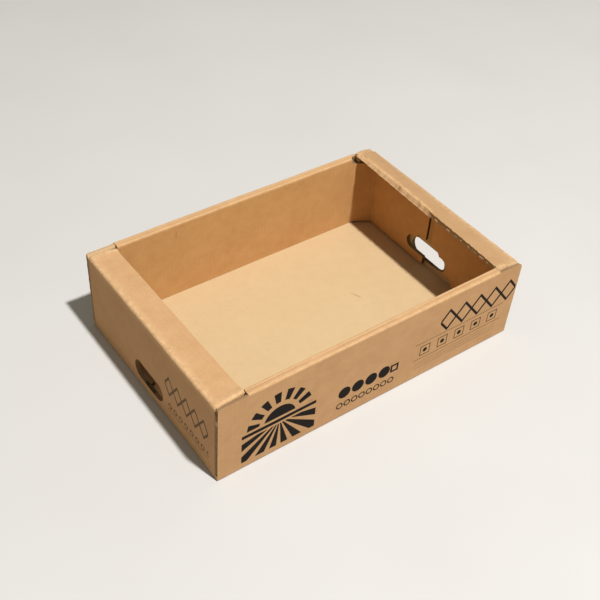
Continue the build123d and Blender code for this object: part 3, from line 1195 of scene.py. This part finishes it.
# %% Rows of marks on the long panels
def row_marks(across, up):
    """Rows of discs, small rings, lozenges and framed dots, with two rules."""
    bold = disc(repeat(across, -66, 27), up, 0, 57, 12)
    bold = within(bold, box(across, up, -80, 28, 44, 70))
    plate = outline(box(across, up, 30, 43, 49, 62), 4)
    small = outline(disc(repeat(across, -73, 15), up, 0, 29, 5.5), 2.4)
    small = within(small, box(across, up, -81, 40, 20, 38))
    tall = outline(lozenges(across, up, 144, 34, 108, 42), 4)
    tall = within(tall, box(across, up, 127, 297, 84, 132))
    cell = repeat(across, 101, 38)
    frames = union(outline(box(cell, up, -10, 10, 52, 72), 1.6), disc(cell, up, 0, 62, 4.5))
    frames = within(frames, box(across, up, 84, 270, 48, 78))
    rules = union(box(across, up, 78, 276, 80.4, 81.4), box(across, up, 78, 276, 44.0, 45.0))
    return union(bold, plate, small, tall, frames, rules)


def fine_lines(across, up):
    """Thin lines, 6 mm apart."""
    lines = box(across, math_chain(up, ("WRAP", 3 * MM, -3 * MM)), 82, 268, -0.5, 0.5)
    return within(lines, box(across, up, 82, 268, 21, 39))


# %% Marks on the end panels
def end_marks(across, up):
    """A row of lozenges over a row of rings and a rule."""
    tall = outline(lozenges(across, up, 62, 25, 82, 38), 3.6)
    tall = within(tall, box(across, up, 49.5, 174.5, 60, 104))
    rings = outline(disc(repeat(across, 63, 16), up, 0, 38, 4.5), 2.2)
    rings = within(rings, box(across, up, 56, 176, 31, 45))
    rule = box(across, up, 56, 174, 27, 28.2)
    return within(union(tall, rings, rule), box(across, up, -186, 186, 5, 150))


# %% Ink on the outer paper
def ink_cover(tree, flat, grain):
    """Share of ink at each point of the flat sheet."""
    x, y = node(tree, "SeparateXYZ", {0: flat}).outputs[:2]

    # Long panels: read along x, up from the base
    across = math_chain(x, ("MULTIPLY", math_chain(y, ("SIGN",), ("MULTIPLY", -1.0))))
    up = math_chain(y, ("ABSOLUTE",), ("SUBTRACT", wall_line - fold_radius))
    panel = box(x, up, -298, 298, 5, 156)
    on_walls = within(union(fan_marks(across, up), row_marks(across, up)), panel)
    faint = within(fine_lines(across, up), panel)

    # End panels: read along y
    across = math_chain(y, ("MULTIPLY", math_chain(x, ("SIGN",))))
    up = math_chain(x, ("ABSOLUTE",), ("SUBTRACT", end_line - fold_radius))
    on_ends = end_marks(across, up)

    # Ink is heaviest on the long panels, thinner on the ends, and faint in the fine lines
    ragged = math_chain(grain, ("SUBTRACT", 0.5), ("MULTIPLY", 0.8 * MM))
    soft_edge = (("ADD", ragged), ("DIVIDE", -0.7 * MM), ("ADD", 0.5))
    cover = math_chain(on_walls, *soft_edge, *limit())
    for mark, most in ((on_ends, 0.72), (faint, 0.4)):
        share = math_chain(mark, *soft_edge, *limit(most))
        cover = math_chain(cover, ("MAXIMUM", share))
    voids = math_chain(grain, ("MULTIPLY", 0.4), ("ADD", 0.83), ("MINIMUM", 1.0))
    return math_chain(cover, ("MULTIPLY", voids))


# %% [markdown]
# Each scuff or stroke of painted shade is placed on the flat sheet, in millimetres. A place on a
# shelf is found from its x in the folded tray and one on an inner panel from its height. The others
# are counted from a free edge, or lie along a rim as painted shade in its groove.

# %% The two papers
shelf_mm = (shelf_start + half_length - shelf_radius) / MM
wall_mm = (inner_line + bare_height) / MM
edge_mm = shelf_end / MM
rim_mm = (rim_middle + 0.6 * rim_top) / MM
outer_scuff_and_shade_strokes = [
    ((shelf_mm - 256, 180), (shelf_mm - 253, 163), 2.6),
    ((shelf_mm - 255, 81), (shelf_mm - 247, 57), 2.6),
    ((shelf_mm - 252, 66), (shelf_mm - 258, 60), 2.4),
    ((shelf_mm - 255, -163), (shelf_mm - 252, -163), 2.4),
    ((shelf_mm - 262, 118), (shelf_mm - 260, 112), 2.2),
    ((-140, wall_mm - 151), (-141, wall_mm - 130), 2.0),
    ((edge_mm - 7, 38), (edge_mm - 1, 32), 2.6),
    ((edge_mm - 5, 19), (edge_mm, 12), 2.4),
    ((edge_mm - 4, 86), (edge_mm, 83), 2.2),
    ((edge_mm - 5, 148), (edge_mm - 2, 150), 1.8),
    # Thin strokes along the front rim's groove are painted shade
    ((-266, -rim_mm), (-118, -rim_mm - 0.7), 1.3),
    ((-132, -rim_mm), (48, -rim_mm + 0.5), 1.1),
    ((30, -rim_mm - 0.6), (268, -rim_mm), 1.3),
]
outer_liner = kraft_liner("kraft_outer_liner", "#b4895e", "#c09569", "#a77b50", "#dfb98b",
                          1.0, outer_scuff_and_shade_strokes, ink=ink_cover)

# Painted shade darkens the paper seen through the torn relief: one dark stroke, laid twice
relief_mm = (wall_line - fold_radius) / MM + 152
relief_shade_stroke = ((258, relief_mm - 13), (258, relief_mm + 13), 26)
inner_scuff_and_shade_strokes = [((124, 22), (133, -2), 2.4), relief_shade_stroke, relief_shade_stroke]
inner_liner = kraft_liner("kraft_inner_liner", "#bd9d73", "#c4a47b", "#b4936a", "#c8aa82",
                          0.6, inner_scuff_and_shade_strokes)
print("papers", outer_liner.name, "and", inner_liner.name)

# %% [markdown]
# ## Raw board edges
#
# A raw edge shows the board's build-up: three papers cut clean, and between them the hollow waves.
# The attribute "depth" says how deep in the board a point lies, and the UV map says where in the
# wave it is, so the wave can be drawn at its true pitch on every cut, with painted shade in the
# hollows. The bare tops at the front are darker, and painted shade darkens the raw edges of the
# hand holes and the torn relief, and the upright slots.

# %% How raw edges are darkened and shaded
def darkened_and_shaded(tree, flat, colour):
    """Darken the bare tops at the front, and paint shade on the raw edges of the holes and the torn
    relief and deep in the upright slots.
    """
    x, y = node(tree, "SeparateXYZ", {0: flat}).outputs[:2]
    far_x, far_y = math_chain(x, ("ABSOLUTE",)), math_chain(y, ("ABSOLUTE",))
    # The bare tops at the front are darker
    front_top = math_chain(y, *short_of(20 * MM - rim_line), ("DIVIDE", 20 * MM), *limit(0.6))
    colour = mix_colour(tree, front_top, colour, srgb("#6b4a2c"))

    # Painted shade on the raw edges of the hand holes, the flap holes and the torn relief
    # Within 24 mm of the hand hole's middle line, and past 50 mm along the end flaps
    wall_hole = math_chain(far_x, ("SUBTRACT", hole_line), ("ABSOLUTE",), *short_of(24 * MM))
    wall_hole = math_chain(wall_hole, ("MINIMUM", math_chain(far_y, *short_of(80 * MM))))
    flap_hole = math_chain(far_x, ("SUBTRACT", flap_start + 50 * MM))
    flap_hole = math_chain(flap_hole, ("MINIMUM", math_chain(far_y, ("SUBTRACT", rim_fold))))
    relief = math_chain(x, ("SUBTRACT", 256 * MM), ("ABSOLUTE",), *short_of(14 * MM))
    relief = math_chain(relief, ("MINIMUM", math_chain(y, ("SUBTRACT", rim_middle))))
    hole = math_chain(wall_hole, ("MAXIMUM", flap_hole), ("MAXIMUM", relief),
                      ("DIVIDE", 3 * MM), *limit(0.65))
    shade_brown = srgb("#3d2815")
    colour = mix_colour(tree, hole, colour, shade_brown)
    # Painted shade deep in the upright slots
    inside = math_chain(far_x, *short_of(half_length - 0.6 * MM), ("DIVIDE", 2 * MM))
    upright = math_chain(far_y, *short_of(rim_line - 3 * MM), ("DIVIDE", 2 * MM))
    slot_shade = math_chain(inside, ("MINIMUM", upright), *limit(0.85))
    return mix_colour(tree, slot_shade, colour, shade_brown)


# %% The look of raw edges
raw_edge, tree, shader = new_material("raw_board_edge")
flat = node(tree, "UVMap", uv_map="sheet").outputs[0]
along = node(tree, "SeparateXYZ", {0: flat}).outputs[0]
deep = node(tree, "Attribute", attribute_name="depth").outputs["Fac"]
deep = math_chain(deep, ("MULTIPLY", board))
fuzz = pattern(flat, 2.5 * MM, 3.0)
layers_seen = []
for middle in (paper / 2, 1.5 * paper + wide_flute, board - paper / 2):
    layers_seen.append(math_chain(deep, *past(middle, paper / 2)))
for middle, height, pitch in flute_layers:
    wave = math_chain(along, ("MULTIPLY", 2 * math.pi / pitch), ("SINE",),
                      ("MULTIPLY", height), ("ADD", middle))
    layers_seen.append(math_chain(deep, *past(wave, 0.3 * MM)))
nearest = union(*layers_seen)
ragged = math_chain(fuzz, ("SUBTRACT", 0.5), ("MULTIPLY", 0.8 * MM))
# The hollows between the layers get a darker brown, as painted shade
hollow = math_chain(nearest, ("ADD", ragged), ("DIVIDE", 0.4 * MM), *limit())
cut_paper = mix_colour(tree, fuzz, srgb("#b08d66"), srgb("#c7a47b"))
cut_edge = darkened_and_shaded(tree, flat, mix_colour(tree, hollow, cut_paper, srgb("#a98660")))
tree.links.new(cut_edge, shader.inputs["Base Color"])
shader.inputs["Roughness"].default_value = 0.9
shader.inputs["Specular IOR Level"].default_value = 0.2
bump = node(tree, "Bump", {"Height": fuzz, "Distance": 0.3 * MM, "Strength": 1.0})
tree.links.new(bump.outputs[0], shader.inputs["Normal"])
print("raw edge drawn from", len(layers_seen), "layers")

# %% The look of the fluting medium
# Fluting paper is made of reused fibres, so it is matt, fuzzy and evenly brown
medium, tree, shader = new_material("fluting_medium")
flat = node(tree, "UVMap", uv_map="sheet").outputs[0]
fuzz = pattern(flat, 3 * MM, 3.0)
pulp = darkened_and_shaded(tree, flat, mix_colour(tree, fuzz, srgb("#a88762"), srgb("#c4a27b")))
tree.links.new(pulp, shader.inputs["Base Color"])
shader.inputs["Roughness"].default_value = 0.9
flutes.data.materials.clear()
flutes.data.materials.append(medium)

for index, material in enumerate((outer_liner, inner_liner, raw_edge)):
    sheet.data.materials[index] = material
print("materials", [material.name for material in sheet.data.materials])

# %% [markdown]
# ## Camera
#
# The photograph was taken from above the front left corner. Its camera was found by matching the
# tray's edges: how far round it stands, how high, how much it is tilted, and its focal length.

# %% Set up the camera
azimuth, elevation, roll = (math.radians(angle) for angle in (-38.82, 42.52, 4.54))
distance, aside, higher = 1.69296, -0.00312, 0.04822
photo_side, focal_pixels = 600, 963.89
back = Vector((
    math.sin(azimuth) * math.cos(elevation),
    -math.cos(azimuth) * math.cos(elevation),
    math.sin(elevation),
))
level = Vector((0, 0, 1)).cross(back).normalized()
upright = back.cross(level)
right = level * math.cos(roll) + upright * math.sin(roll)
above = upright * math.cos(roll) - level * math.sin(roll)
place = back * distance + right * aside + above * higher
bpy.ops.object.camera_add(location=(0, 0, 0))
camera = bpy.context.object
axes = Matrix((right, above, back)).transposed()
camera.matrix_world = Matrix.Translation(place) @ axes.to_4x4()
camera.data.sensor_width = 36.0
camera.data.lens = camera.data.sensor_width * focal_pixels / photo_side
bpy.context.scene.camera = camera
print("camera at", [round(v, 3) for v in place], "lens", round(camera.data.lens, 1))

# %% [markdown]
# ## Floor and light
#
# The tray stands on a plain pale floor, of matt paint with faint clouds. One soft lamp hangs high
# above it and a little to the front, as the shadow under the right shelf shows, and a weak light
# from all round, cool above and warm near the floor, fills the rest.

# %% Lay the floor
floor_drop = 0.2 * MM
bpy.ops.mesh.primitive_plane_add(size=14, location=(0, 0, -floor_drop))
floor = bpy.context.object
floor.name = "studio_floor"
pale_floor, tree, shader = new_material("pale_floor")
clouds = pattern(node(tree, "TexCoord").outputs["Object"], 1 / 3)
floor_colour = mix_colour(tree, clouds, srgb("#bab1a8"), srgb("#c0b8af"))
tree.links.new(floor_colour, shader.inputs["Base Color"])
shader.inputs["Roughness"].default_value = 0.8
floor.data.materials.append(pale_floor)
print("floor is", floor.dimensions.x, "m wide")

# %% Light all round

world = bpy.data.worlds.new("studio")
bpy.context.scene.world = world
world.use_nodes = True
background = world.node_tree.nodes["Background"]
tree = world.node_tree
height = node(tree, "SeparateXYZ", {0: node(tree, "TexCoord").outputs["Generated"]}).outputs[2]
height = math_chain(height, ("MAXIMUM", 0.0), ("POWER", 1.5))
around = mix_colour(tree, height, srgb("#fff0c4"), srgb("#e6f6ff"))
tree.links.new(around, background.inputs["Color"])
background.inputs["Strength"].default_value = 0.33
print("light all round has strength", round(background.inputs["Strength"].default_value, 2))

# %% Hang the lamp
lamp_place = Vector((0.27, -2.2, 5.2))
bpy.ops.object.light_add(type="AREA", location=lamp_place)
lamp = bpy.context.object
lamp.name = "soft_lamp"
lamp.data.shape = "DISK"
lamp.data.size = 0.28
lamp.data.energy = 530
lamp.data.color = (0.865, 0.933, 1.0)
lamp.rotation_euler = lamp_place.to_track_quat("Z", "Y").to_euler()
bpy.context.scene.view_settings.view_transform = "Standard"
print("lamp of", lamp.data.energy, "W hangs at", tuple(round(v, 2) for v in lamp_place))

# %% Finish
print("finished")
